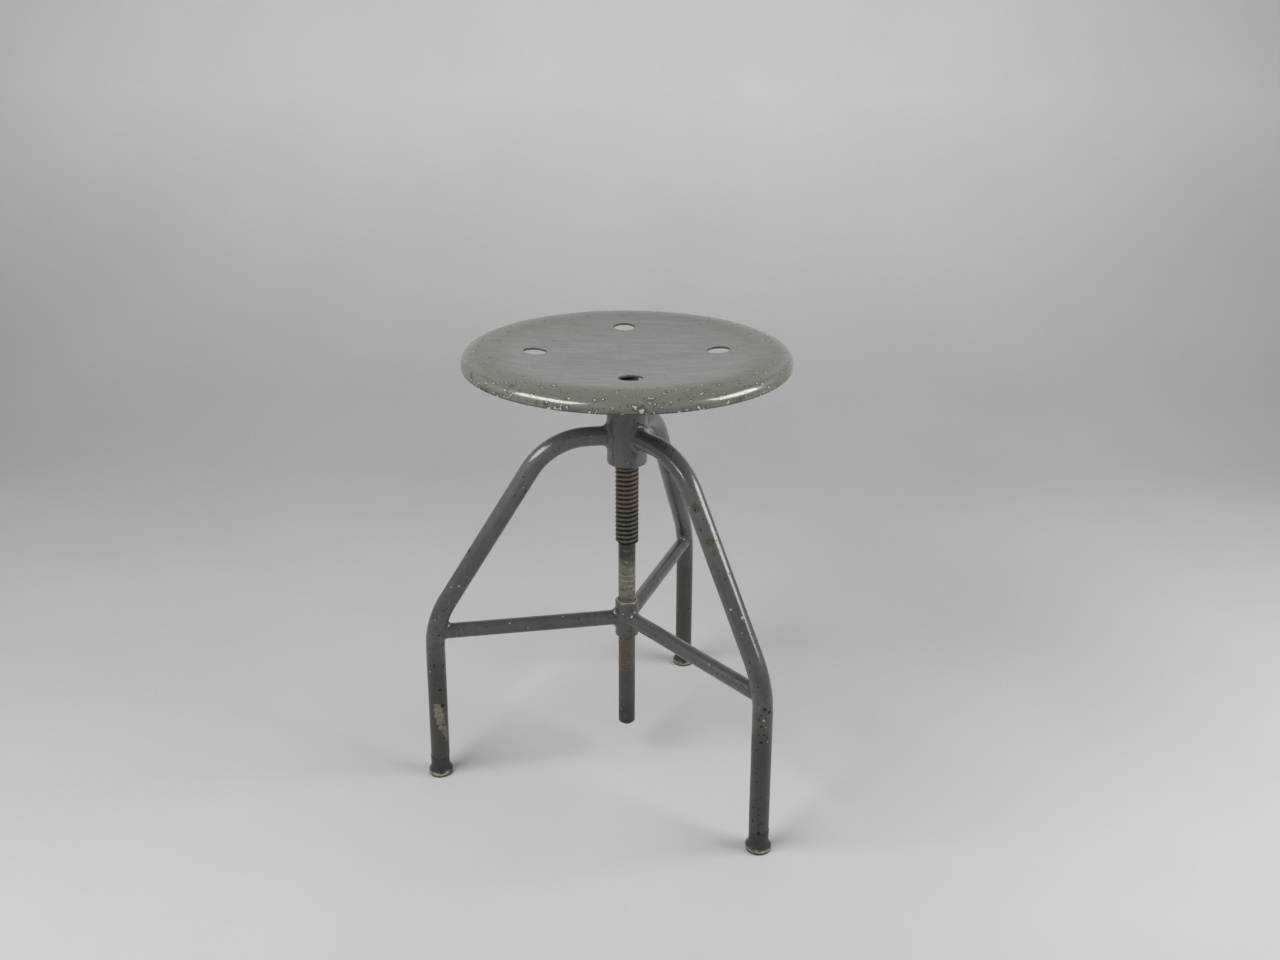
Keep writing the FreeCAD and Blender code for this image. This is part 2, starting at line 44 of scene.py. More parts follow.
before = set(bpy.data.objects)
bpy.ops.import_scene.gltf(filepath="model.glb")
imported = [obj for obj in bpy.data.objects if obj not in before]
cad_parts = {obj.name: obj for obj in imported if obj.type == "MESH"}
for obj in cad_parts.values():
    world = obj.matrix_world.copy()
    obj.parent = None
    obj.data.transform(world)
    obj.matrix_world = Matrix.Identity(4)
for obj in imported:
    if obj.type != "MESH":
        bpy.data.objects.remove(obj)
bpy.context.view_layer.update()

MM = 0.001
SEAT_LOW, SEAT_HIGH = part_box("seat_pan")
SCREW_LOW, SCREW_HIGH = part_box("screw")
PLATE_LOW, PLATE_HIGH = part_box("seat_plate")
ROD_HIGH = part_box("guide_rod")[1]
COLLAR_LOW, COLLAR_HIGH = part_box("guide_collar")
HUB_LOW, HUB_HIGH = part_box("hub")


def linear(code):
    """An sRGB colour such as #808080 as linear red, green and blue."""
    parts = [int(code[start : start + 2], 16) / 255 for start in (1, 3, 5)]
    return [c / 12.92 if c <= 0.04045 else ((c + 0.055) / 1.055) ** 2.4 for c in parts]


def length_of(name, value, description):
    """A length that a user may change."""
    return bpy.props.FloatProperty(
        name=name, default=value, description=description, unit="LENGTH", precision=5
    )


def angle_of(name, degrees, description):
    """An angle that a user may change."""
    return bpy.props.FloatProperty(
        name=name, default=math.radians(degrees), description=description, subtype="ANGLE"
    )


def colour_of(name, code, description):
    """A colour that a user may change."""
    return bpy.props.FloatVectorProperty(
        name=name, default=linear(code), description=description, subtype="COLOR", min=0, max=1
    )


class SeatSettings(bpy.types.PropertyGroup):
    """Sizes and colours of the pressed seat"""

    crest_radius: length_of("Crest", 134 * MM, "Screw axis to the highest ring")
    crest_bend: length_of("Crest bend", 60 * MM, "Radius over that ring")
    shoulder_slope: angle_of("Shoulder", 9.85, "Fall of the shoulder outside the crest")
    rim_bend: length_of("Rim bend", 8 * MM, "Outer radius of the bend down into the rim")
    rim_drop: length_of("Rim drop", 4 * MM, "Straight side of the rim")
    sheet: length_of("Sheet", 2 * MM, "Thickness of the pressed sheet")
    dish_bend: length_of("Dish bend", 700 * MM, "Radius of the dish")
    dish_flat: length_of("Dish flat", 40 * MM, "Radius of the flat middle")
    edge_round: length_of("Edge", 0.5 * MM, "Rounding of the sheet's cut edges")
    hole_circle: length_of("Hole circle", 180 * MM, "Circle through the holes' centres")
    hole_width: length_of("Hole", 22 * MM, "Width of a hole")
    hole_angle: angle_of("First hole", 22.5, "Turn of the first hole from +X")
    dent_depth: length_of("Dents", 0.35 * MM, "Depth of the pressing's unevenness")
    dent_width: length_of("Dent width", 60 * MM, "Width of the pressing's unevenness")
    enamel: colour_of("Enamel", "#81807F", "Stoved enamel of the seat")
    enamel_olive: colour_of("Olive enamel", "#7B7B73", "Olive patches in the enamel")
    enamel_rim: colour_of("Rim enamel", "#696B60", "Olive cast of the enamel at the rim")
    primer: colour_of("Primer", "#C0BCA8", "Pale primer in the chips")
    rust: colour_of("Rust", "#46362A", "Rust at the rim's lower edge")
    pit: colour_of("Pit", "#2B2A25", "Dark edges of the chips")


class ScrewSettings(bpy.types.PropertyGroup):
    """Sizes and colours of the lifting screw and the guide rod"""

    pitch: length_of("Pitch", 5 * MM, "Rise of the thread in one turn")
    depth: length_of("Depth", 2.75 * MM, "Depth of the thread")
    crest_width: length_of("Crest", 2.2 * MM, "Width of the thread's crest")
    root_width: length_of("Root", 1.3 * MM, "Width of the thread's root")
    crest_wear: length_of("Wear", 0.25 * MM, "Bevel worn on the crest's edges")
    start_turn: angle_of("Start", 0, "Turn at which the thread starts")
    journal: length_of("Journal", 13.1 * MM, "Width of the rod's socket in the screw")
    journal_depth: length_of("Socket", 24.4 * MM, "Depth of that socket")
    spigot: length_of("Spigot", 18 * MM, "Width of the screw's spigot in the plate")
    steel_dark: colour_of("Oiled steel", "#30312C", "Steel under old oil")
    steel_brown: colour_of("Brown steel", "#5A4639", "Rusty brown of the dry thread")
    steel_worn: colour_of("Worn steel", "#726A5E", "Steel rubbed bare on the crests")
    rod_dark: colour_of("Dark rod", "#2E2E2A", "Old oil at the rod's top")
    rod_khaki: colour_of("Grease", "#6D6959", "Khaki film of dried grease on the rod")
    rod_ring: colour_of("Rubbed ring", "#98937F", "Pale rings rubbed by the collar")
    rod_brown: colour_of("Brown rod", "#5C5340", "Rusty film below the collar")
    rod_paint: colour_of("Rod paint", "#41413C", "Paint on the rod's lower end")


class PaintSettings(bpy.types.PropertyGroup):
    """Colours of the frame's paint and its wear, with painted light near the hub and a partly
    painted highlight on the feet's bare steel
    """

    paint: colour_of("Paint", "#4E4F4B", "Brushed machine paint of the frame")
    paint_deep: colour_of("Deep paint", "#444643", "Paint where it lies thicker")
    # Paint made lighter for the hub and arms: painted light where the seat shades them
    paint_painted_light: colour_of("High paint", "#5E605E", "Cleaner paint near the hub")
    paint_low: colour_of("Low paint", "#40413A", "Paint under the dirt of the floor")
    speck: colour_of("Speck", "#A9A591", "Small pale specks of primer")
    pit: colour_of("Pit", "#1A1916", "Dark pits through the paint")
    rust: colour_of("Rust", "#4C4935", "Rust round the pits")
    bare: colour_of("Bare", "#8C8272", "Old undercoat where the paint is gone")
    foot: colour_of("Foot", "#32332E", "Dirty paint of the feet")
    # Steel rubbed bare at the soles, made as light as the glint on it: partly painted highlight
    foot_worn: colour_of("Worn foot", "#BDB598", "Steel rubbed bare at the soles")
    lump_width: length_of("Lump", 8 * MM, "Width of the lumps in the braze")
    lump_height: length_of("Lump height", 0.6 * MM, "Height of the lumps in the braze")


class StageSettings(bpy.types.PropertyGroup):
    """Camera, floor and lamps"""

    camera_x: length_of("Camera X", 0.3809, "Camera's place along X")
    camera_y: length_of("Camera Y", -1.0187, "Camera's place along Y")
    camera_z: length_of("Camera Z", 0.7831, "Camera's height")
    heading: angle_of("Heading", 19.80, "Camera's turn about Z")
    pitch: angle_of("Pitch", 22.43, "How far the camera looks down")
    roll: angle_of("Roll", 0.32, "Camera's roll")
    lens: bpy.props.FloatProperty(
        name="Lens", default=32.27, description="Focal length", unit="CAMERA"
    )
    floor_reach: length_of("Floor", 4.0, "Half the width of the floor")
    wall_distance: length_of("Wall", 1.75, "Screw axis to the wall behind")
    wall_height: length_of("Wall height", 1.5, "Height of the wall")
    sweep: length_of("Sweep", 0.9, "Radius of the curve from floor to wall")
    floor: colour_of("Floor", "#C6C6C5", "Pale matt floor")
    wall: colour_of("Wall", "#F0F0F0", "Paler matt wall")
    surround: colour_of("Surround", "#B9BABA", "Studio seen beyond the floor")
    lamp_distance: length_of("Lamps", 1.6, "Screw axis to a lamp")
    lamp_depth: length_of("Lamp depth", 0.7, "Depth of a lamp's long soft box")
    lamp_aim: length_of("Lamp aim", 0.3, "Height at which the lamps are aimed")


def settings():
    """The scene's settings: seat, screw, paint and stage."""
    return bpy.context.scene.stool


class StoolSettings(bpy.types.PropertyGroup):
    """All settings of the stool"""

    seat: bpy.props.PointerProperty(type=SeatSettings)
    screw: bpy.props.PointerProperty(type=ScrewSettings)
    paint: bpy.props.PointerProperty(type=PaintSettings)
    stage: bpy.props.PointerProperty(type=StageSettings)


# Modelling


def only(piece):
    """Deselects everything, then selects one piece and makes it the active one."""
    bpy.ops.object.select_all(action="DESELECT")
    piece.select_set(True)
    bpy.context.view_layer.objects.active = piece


def new_piece(name):
    """Names the primitive that was just added."""
    piece = bpy.context.object
    piece.name = name
    piece.data.name = name
    return piece


def select_in_edit(piece, test, kind="verts"):
    """In edit mode, selects only the vertices, edges or faces that pass a test."""
    bpy.ops.mesh.select_all(action="DESELECT")
    mesh = bmesh.from_edit_mesh(piece.data)
    found = [part for part in getattr(mesh, kind) if test(part)]
    if not found:
        raise RuntimeError(f"{piece.name}: nothing to select among its {kind}")
    for part in found:
        part.select_set(True)
    mesh.select_flush(True)
    bmesh.update_edit_mesh(piece.data)


def with_modifier(piece, kind, **values):
    """Adds a modifier and applies it."""
    only(piece)
    modifier = piece.modifiers.new(kind.lower(), kind)
    for name, value in values.items():
        setattr(modifier, name, value)
    bpy.ops.object.modifier_apply(modifier=modifier.name)


def draw_outline(name, outline):
    """Draws (radius, height) points in the XZ plane, by extruding one vertex from each to
    the next. The piece stays in edit mode."""
    bpy.ops.object.select_all(action="DESELECT")
    bpy.ops.mesh.primitive_plane_add(size=MM)
    piece = new_piece(name)
    bpy.ops.object.mode_set(mode="EDIT")
    bpy.ops.mesh.select_all(action="SELECT")
    bpy.ops.mesh.merge(type="CENTER")
    here = (outline[0][0], 0, outline[0][1])
    bpy.ops.transform.translate(value=here)
    for radius, height in outline[1:]:
        step = (radius - here[0], 0, height - here[2])
        bpy.ops.mesh.extrude_vertices_move(TRANSFORM_OT_translate={"value": step})
        here = (radius, 0, height)
    return piece


# Faces round the seat, round its holes and round the screw
SEAT_STEPS, PUNCH_STEPS, SCREW_STEPS = 160, 48, 64


def turned(name, outline, steps):
    """Turns a closed outline of (radius, height) points about Z."""
    piece = draw_outline(name, outline + outline[:1])
    bpy.ops.mesh.select_all(action="SELECT")
    bpy.ops.mesh.spin(steps=steps, angle=2 * math.pi, center=(0, 0, 0), axis=(0, 0, 1))
    close_up()
    return piece


def close_up():
    """Merges doubles, points the faces outwards and leaves edit mode."""
    bpy.ops.mesh.select_all(action="SELECT")
    bpy.ops.mesh.remove_doubles(threshold=0.01 * MM)
    bpy.ops.mesh.normals_make_consistent(inside=False)
    bpy.ops.object.mode_set(mode="OBJECT")


def arc(centre, radius, first, last, count):
    """Points of an arc, angles in degrees from the radius direction towards up."""
    points = []
    for number in range(count + 1):
        angle = math.radians(first + (last - first) * number / count)
        points.append((centre[0] + radius * math.cos(angle), centre[1] + radius * math.sin(angle)))
    return points


def finish_piece(piece, body, material, nodes=(), smooth=40):
    """Smooths a piece, gives it its material and ties it to the frame."""
    only(piece)
    bpy.ops.object.shade_smooth_by_angle(angle=math.radians(smooth))
    piece.data.materials.clear()
    piece.data.materials.append(material)
    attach(piece, body)
    if nodes:
        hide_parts(*nodes)
    return piece


# Materials

# The shader nodes in use: Blender's name without ShaderNode, the settings, the sockets in the
# order in which they are given, and the output, or None for a choice of outputs. A name that
# isn't here is an operation on numbers, such as ADD.
NODES = {
    "coordinates": ("TexCoord", {}, (), None),
    "axes": ("SeparateXYZ", {}, ("Vector",), None),
    "streaked": ("Mapping", {"vector_type": "TEXTURE"}, ("Vector", "Rotation", "Scale"), 0),
    # Soft random values about 0.5
    "clouds": ("TexNoise", {}, ("Vector", "Scale", "Detail", "Roughness"), "Fac"),
    "scatter": ("TexNoise", {}, ("Vector", "Scale", "Detail"), "Color"),
    "cells": ("TexVoronoi", {}, ("Vector", "Scale"), None),
    "chances": ("SeparateColor", {}, ("Color",), None),
    "plus": ("VectorMath", {"operation": "ADD"}, (0, 1), 0),
    "minus": ("VectorMath", {"operation": "SUBTRACT"}, (0, 1), 0),
    "times": ("VectorMath", {"operation": "MULTIPLY"}, (0, 1), 0),
    "scaled": ("VectorMath", {"operation": "SCALE"}, (0, "Scale"), 0),
    "distance": ("VectorMath", {"operation": "DISTANCE"}, (0, 1), "Value"),
    "length": ("VectorMath", {"operation": "LENGTH"}, (0,), "Value"),
    # Takes a value from low..high to start..end, held at both ends
    "range": ("MapRange", {}, ("Value", "From Min", "From Max", "To Min", "To Max"), "Result"),
    # Goes from the first colour to the second as the factor goes from 0 to 1
    "mix": ("Mix", {"data_type": "RGBA"}, (0, 6, 7), 2),
    # A height in metres, on top of another bump if one is given
    "bump": ("Bump", {}, ("Height", "Distance", "Normal"), "Normal"),
    "principled": ("BsdfPrincipled", {}, (), "BSDF"),
    "surface": ("OutputMaterial", {}, ("Surface",), None),
    "rays": ("LightPath", {}, (), None),
    "glow": ("Background", {}, ("Color", "Strength"), "Background"),
    "either": ("MixShader", {}, (0, 1, 2), "Shader"),
    "sky": ("OutputWorld", {}, ("Surface",), None),
}


def add_node(tree, name, *inputs):
    """Adds the node of this name. The inputs are numbers, colours or other nodes' outputs."""
    kind, values, sockets, output = NODES.get(name, ("Math", {"operation": name}, (0, 1), 0))
    made = tree.nodes.new("ShaderNode" + kind)
    for setting, value in values.items():
        setattr(made, setting, value)
    for socket, value in zip(sockets, inputs):
        target = made.inputs[socket]
        if isinstance(value, bpy.types.NodeSocket):
            tree.links.new(value, target)
        elif target.type == "RGBA" and len(value) == 3:
            target.default_value = (*value, 1)
        else:
            target.default_value = value
    return made.outputs if output is None else made.outputs[output]


def start_material(name, shader):
    """A new material, the function that adds a node to it, its Object coordinates and its
    shader, whose plain sockets are given."""
    material = bpy.data.materials.new(name)
    material.use_nodes = True
    material.node_tree.nodes.clear()
    add = partial(add_node, material.node_tree)
    principled = add("principled")
    for socket, value in shader.items():
        principled.node.inputs[socket].default_value = value
    add("surface", principled)
    return material, add, add("coordinates")["Object"], principled.node


def dress(surface, **outputs):
    """Ties a shader's sockets to other nodes' outputs: base_color is Base Color, and so on."""
    for name, output in outputs.items():
        socket = surface.inputs[name.replace("_", " ").title()]
        surface.id_data.links.new(output, socket)


def per(width):
    """The scale of a pattern whose features are this wide, in millimetres."""
    return 1 / (width * MM)


def ragged(add, place, width, amount):
    """Coordinates pushed about at random, so that outlines come out torn: how wide the tears
    are and how far they go, in millimetres."""
    noise = add("scatter", place, per(width), 2.0)
    push = add("scaled", add("minus", noise, (0.5, 0.5, 0.5)), amount * MM)
    return add("plus", place, push)


# Nearness at which a spot begins and is full, the same for the dark border round a chip, and
# the nearness of a spot that is left out
SPOT, BORDER, FAR = (1.0, 0.75), (1.9, 1.425), 9.0


def specks(add, place, spacing, width, share):
    """Spots up to this width, one in a cell of the spacing, both in millimetres, in this share
    of the cells, a number or an output. Gives the nearness: under 1 in a spot, more outside."""
    torn = ragged(add, place, width * 0.7, width * 1.4)
    cells = add("cells", torn, per(spacing))
    chance = add("chances", cells["Color"])
    radius = add("range", chance["Green"], 0, 1, 0.35, 1.0)
    reach = add("MULTIPLY", radius, width / 2 / spacing)
    nearness = add("DIVIDE", cells["Distance"], reach)
    missed = add("GREATER_THAN", chance["Red"], share)
    return add("ADD", nearness, add("MULTIPLY", missed, FAR))


def nearest_of(add, *each):
    """The least of several values of nearness."""
    least = each[0]
    for nearness in each[1:]:
        least = add("MINIMUM", least, nearness)
    return least


def marks(add, place, spots, tear):
    """Chosen marks, each (x, y, z, width) in millimetres, with outlines torn by this many.
    Gives the nearness: under 1 in a mark, more outside."""
    torn = ragged(add, place, tear, tear)
    each = []
    for *centre, width in spots:
        away = add("distance", torn, [c * MM for c in centre])
        each.append(add("DIVIDE", away, width / 2 * MM))
    return nearest_of(add, *each)


# Coordinates times this have no height, and their length is the distance from the axis
LEVEL = (1, 1, 0)
# Roughness of bare primer and rust, as a grey
DRY = (0.7, 0.7, 0.7)
# Distances from the axis, in metres, between which the seat's top turns into its rim
SEAT_RIM = (0.112, 0.158)
# Chips in the seat's rim that stand out: turn from +X in degrees, then distance from the
# axis, height and width in millimetres
RIM_CHIPS = (
    (-112, 149, 473.5, 2.4), (-106, 146, 474, 2.0), (-108, 161, 468.7, 2.2),
    (-101, 160, 470.3, 3.0), (-85, 139, 475, 1.8), (-80, 137, 475.3, 2.2),
    (-79.5, 157.5, 472, 3.2), (-77, 156, 472.7, 2.6), (-88, 162, 465, 3.0),
    (-90, 162, 463, 3.4), (-94, 162, 462, 2.4), (-81, 162, 462.3, 2.4),
    (-67, 161.6, 467, 4.0), (-65, 162, 464.4, 5.5), (-58, 135, 475.6, 2.0),
    (-57, 147.5, 474, 3.0), (-52, 141.6, 474.7, 2.2), (-48, 144, 474.4, 2.2),
    (-62.5, 153.6, 473, 2.2), (-34, 137, 475.4, 1.6), (-40, 160.7, 469, 2.6),
    (-22, 157.5, 472, 2.4), (-20, 159.7, 470.4, 2.4), (-29, 162, 464.5, 2.0),
    (-3, 143.8, 474.4, 2.0), (-47, 162, 464, 3.4), (-35, 67, 470.2, 1.6),
)
RIM_PITS = ((-143, 161, 468, 3.4), (-133, 161, 469, 2.8), (-28, 151, 473.3, 2.4))


def around(spots):
    """Marks given by turn and distance from the axis, as (x, y, z, width)."""
    return [
        (away * math.cos(math.radians(turn)), away * math.sin(math.radians(turn)), *rest)
        for turn, away, *rest in spots
    ]


def enamel_material():
    """Stoved enamel sprayed on pressed steel: rubbed to a dull gloss on top and glossy round
    the rim, with faint wiped streaks, and chips down to pale primer and rust that crowd
    towards the rim's lower edge."""
    look = settings().seat
    shader = {"IOR": 1.5, "Specular IOR Level": 0.45, "Coat Roughness": 0.12, "Coat IOR": 1.62}
    material, add, place, surface = start_material("stoved_enamel_on_steel", shader)
    flat = add("times", place, LEVEL)
    radius = add("length", flat)
    z = add("axes", place)["Z"]
    rim = add("range", radius, *SEAT_RIM)
    low_edge = add("range", z, SEAT_LOW.z + 5 * MM, SEAT_LOW.z)

    across = add("streaked", place, (0, 0, settings().stage.heading), (14, 1, 1))
    streaks = add("clouds", across, per(3), 5.0, 0.7)
    patches = add("clouds", place, per(70), 5.0, 0.65)
    mottle = add("clouds", place, per(9), 5.0, 0.75)
    olive = add("ADD", add("range", patches, 0.4, 0.6, 0.0, 0.9), rim)
    colour = add("mix", olive, look.enamel, look.enamel_olive)
    darker = [c * 0.72 for c in look.enamel_olive]
    lighter = [c * 1.18 for c in look.enamel]
    colour = add("mix", add("range", streaks, 0.45, 0.75, 0.0, 0.4), colour, darker)
    colour = add("mix", add("range", streaks, 0.5, 0.3, 0.0, 0.3), colour, lighter)
    colour = add("mix", add("range", mottle, 0.45, 0.7, 0.0, 0.5), colour, darker)
    colour = add("mix", add("MULTIPLY", rim, 0.85), colour, look.enamel_rim)
    grime = add("range", add("clouds", place, per(5), 5.0, 0.75), 0.42, 0.68, 0.0, 0.45)
    colour = add("mix", add("MULTIPLY", grime, rim), colour, darker)

    huddle = add("range", add("clouds", place, per(26), 2.0, 0.55), 0.4, 0.6, 0.35, 1)
    huddle = add("MULTIPLY", add("POWER", rim, 1.2), huddle)
    chips = nearest_of(
        add,
        specks(add, place, 4.5, 2.6, add("range", huddle, 0, 1, 0.02, 0.85)),
        specks(add, place, 9, 4.2, add("range", huddle, 0.1, 1, 0.0, 0.6)),
        specks(add, place, 5, 4, add("MULTIPLY", low_edge, 0.7)),
        marks(add, place, around(RIM_CHIPS), 1.6),
    )
    pits = nearest_of(
        add,
        specks(add, place, 6, 2.6, add("range", huddle, 0, 1, 0.03, 0.8)),
        marks(add, place, around(RIM_PITS), 1.6),
    )
    core = add("clouds", place, per(2.5), 2.0, 0.55)
    chip_colour = add("mix", add("range", core, 0.52, 0.6), look.primer, look.rust)
    uneven = add("ADD", z, add("range", core, 0, 1, 0, 1.6 * MM))
    cut_edge = add("range", uneven, SEAT_LOW.z + 2.2 * MM, SEAT_LOW.z + 1.4 * MM)
    rusty = add("range", add("clouds", place, per(24), 3.0, 0.55), 0.5, 0.62)
    rusty = add("MULTIPLY", low_edge, rusty)
    rusty = add("MAXIMUM", rusty, add("MULTIPLY", cut_edge, 0.85))
    colour = add("mix", rusty, colour, look.rust)
    away, width = look.hole_circle / 2 / MM, look.hole_width / MM
    first = math.degrees(look.hole_angle)
    holes = around([(first + 90 * number, away, 0, width) for number in range(4)])
    walls = add("range", marks(add, flat, holes, 0.8), 1.07, 1.03, 0.0, 0.85)
    colour = add("mix", walls, colour, look.pit)
    border = add("MULTIPLY", add("range", chips, *BORDER), 0.6)
    colour = add("mix", border, colour, look.pit)
    pitted = add("range", pits, *SPOT)
    colour = add("mix", pitted, colour, look.pit)
    chipped = add("range", chips, *SPOT)
    colour = add("mix", chipped, colour, chip_colour)
    worn = add("MAXIMUM", chipped, rusty)
    gloss = add("range", streaks, 0.35, 0.75, 0.32, 0.48)
    rough = add("mix", worn, gloss, DRY)

    peel = add("bump", add("clouds", place, per(3), 2.0, 0.55), 0.012 * MM)
    waves = add("bump", add("clouds", place, per(30), 1.0, 0.55), 0.2 * MM, peel)
    gone = add("MAXIMUM", chipped, pitted)
    whole = add("SUBTRACT", 1.0, add("MAXIMUM", gone, rusty))
    rubbed = add("range", radius, SEAT_HIGH.x - 14 * MM, SEAT_HIGH.x - 6 * MM, 0.3, 0.95)
    coat = add("MULTIPLY", whole, rubbed)
    relief = add("bump", add("SUBTRACT", 1.0, gone), 0.12 * MM, waves)
    dress(surface, base_color=colour, roughness=rough, coat_weight=coat, normal=relief)
    return material


# Heights in metres between which the frame's paint turns lighter, as painted light for the hub
# and arms under the seat, and turns dirty, and distances from the axis between which its wear
# grows and its dark smears thicken, the smears kept thin near the hub as painted light
PAINT_PAINTED_LIGHT, PAINT_DIRTY, PAINT_WORN = (0.28, 0.38), (0.175, 0.125), (0.14, 0.185)
# Damage to the frame's paint that stands out: x, y, z and width in millimetres
PAINT_SPECKS = (
    (150, -90, 250, 3.4), (165, -96, 227, 2.2), (174, -101, 192, 2.4), (176, -112, 183, 2.2),
    (181, -112, 156, 2.8), (185, -109, 131, 2.0), (-156, -98, 230, 2.2), (-148, -97, 232, 2.0),
    (-180, -112, 132, 2.0),
)
PAINT_PITS = (
    (181, -111, 168, 4), (185, -108, 164, 4.5), (179, -112, 131, 3.5), (182, -114, 25, 5),
    (-167, -102, 164, 4), (-168, -105, 138, 4.5), (-171, -110, 110, 4), (-170, -108, 90, 5),
    (-141, -84, 268, 4.5),
)
PAINT_RUST = ((93, -63, 343, 10), (111, -72, 314, 10), (116, -75, 304, 7))
# The patch rubbed bare on the left leg
PAINT_BARE = (
    (-175, -111, 90, 8), (-174, -112, 84, 12), (-172.5, -112, 77, 13), (-171.5, -111, 70, 12),
    (-170.5, -109.5, 63, 11), (-169.8, -107.5, 56, 9), (-169.3, -106, 50, 6.5),
    (-169.2, -105.2, 45, 4.5),
)


def paint_material(name, lumps, chosen=False, rings=()):
    """Machine paint brushed on tube: a satin film with soft unevenness from the brush,
    pale specks and dark pits with rusty borders. chosen adds the marks that stand out on
    the legs, and rings the heights of edges that the rod has rubbed bare."""
    look = settings().paint
    shader = {"IOR": 1.5, "Specular IOR Level": 0.35, "Coat Roughness": 0.14}
    material, add, place, surface = start_material(name, shader)
    radius = add("length", add("times", place, LEVEL))
    z = add("axes", place)["Z"]
    mottle = add("clouds", place, per(35), 4.0, 0.65)
    colour = add("mix", add("range", mottle, 0.35, 0.65), look.paint_deep, look.paint)
    height = add("ADD", z, add("range", mottle, 0.3, 0.7, -20 * MM, 20 * MM))
    # Painted light: the paint turns lighter up towards the hub and arms, under the seat
    colour = add("mix", add("range", height, *PAINT_PAINTED_LIGHT), colour, look.paint_painted_light)
    dirt = add("range", height, *PAINT_DIRTY)
    colour = add("mix", dirt, colour, look.paint_low)
    outer = add("range", radius, *PAINT_WORN)
    # Dark smears of dirt, half as strong near the axis so that the hub and arms stay lighter:
    # partly painted light
    smear_and_painted_light = add("range", add("clouds", place, per(6), 5.0, 0.75), 0.42, 0.66)
    smear_and_painted_light = add("MULTIPLY", smear_and_painted_light, add("range", outer, 0, 1, 0.35, 0.7))
    colour = add("mix", smear_and_painted_light, colour, [c * 0.7 for c in look.paint_low])
    crowd = add("range", add("clouds", place, per(60), 2.0, 0.55), 0.42, 0.62)
    pale = specks(add, place, 6, 2.0, add("range", crowd, 0, 1, 0.12, 0.6))
    pitted = add("range", crowd, 0, 1, 0.3, 0.95)
    pitted = add("MULTIPLY", pitted, add("range", outer, 0, 1, 0.4, 1.0))
    pits = specks(add, place, 4, 2.6, pitted)
    rust = specks(add, place, 22, 6, add("range", crowd, 0, 1, 0.04, 0.35))
    if chosen:
        pale = nearest_of(add, pale, marks(add, place, PAINT_SPECKS, 1.2))
        pits = nearest_of(add, pits, marks(add, place, PAINT_PITS, 1.2))
        rust = nearest_of(add, rust, marks(add, place, PAINT_RUST, 5.0))
        frayed = ragged(add, place, 2, 3.5)
        bare = add("range", marks(add, frayed, PAINT_BARE, 6.0), *SPOT)
        shade = add("range", add("clouds", place, per(4), 5.0, 0.7), 0.4, 0.62)
        tan = add("mix", shade, look.bare, [c * 0.42 for c in look.bare])
        colour = add("mix", bare, colour, tan)
        spots = specks(add, place, 4, 3.2, add("MULTIPLY", bare, 0.6))
        pits = nearest_of(add, pits, spots)
    rusted = add("range", rust, *SPOT)
    colour = add("mix", add("MULTIPLY", rusted, 0.8), colour, look.rust)
    cores = specks(add, place, 3.5, 3, add("MULTIPLY", rusted, 0.95))
    pits = nearest_of(add, pits, cores)
    colour = add("mix", add("range", pale, *SPOT), colour, look.speck)
    colour = add("mix", add("range", pits, *SPOT), colour, look.pit)
    worn = add("range", nearest_of(add, pale, pits, rust), *SPOT)
    if chosen:
        worn = add("MAXIMUM", worn, bare)
    for level in rings:
        off = add("ABSOLUTE", add("SUBTRACT", z, level))
        at_edge = add("range", off, 1.2 * MM, 0.8 * MM)
        at_bore = add("range", radius, ROD_HIGH.x + 2.6 * MM, ROD_HIGH.x + 2.0 * MM)
        ring = add("MULTIPLY", at_edge, at_bore)
        colour = add("mix", add("MULTIPLY", ring, 0.8), colour, look.speck)
    gloss = add("range", add("clouds", place, per(12), 4.0, 0.55), 0.3, 0.7, 0.3, 0.45)
    rough = add("mix", worn, gloss, DRY)
    grain = add("bump", add("clouds", place, per(3), 2.0, 0.55), (0.01 + lumps) * MM)
    brush = add("bump", add("clouds", place, per(18), 2.0, 0.55), 0.12 * MM, grain)
    film = add("SUBTRACT", 1.0, worn)
    coat = add("MULTIPLY", film, add("range", dirt, 0, 1, 0.9, 0.2))
    relief = add("bump", film, 0.12 * MM, brush)
    dress(surface, base_color=colour, roughness=rough, coat_weight=coat, normal=relief)
    return material


# Heights in metres between which a foot's bare steel ends, the brown round it ends, and the
# dark paint kept at the bottom of the sole as painted contact shadow turns to bare steel
FOOT_BARE, FOOT_BROWN, FOOT_CONTACT_SHADE = (0.0085, 0.007), (0.008, 0.006), (0.002, 0.0032)


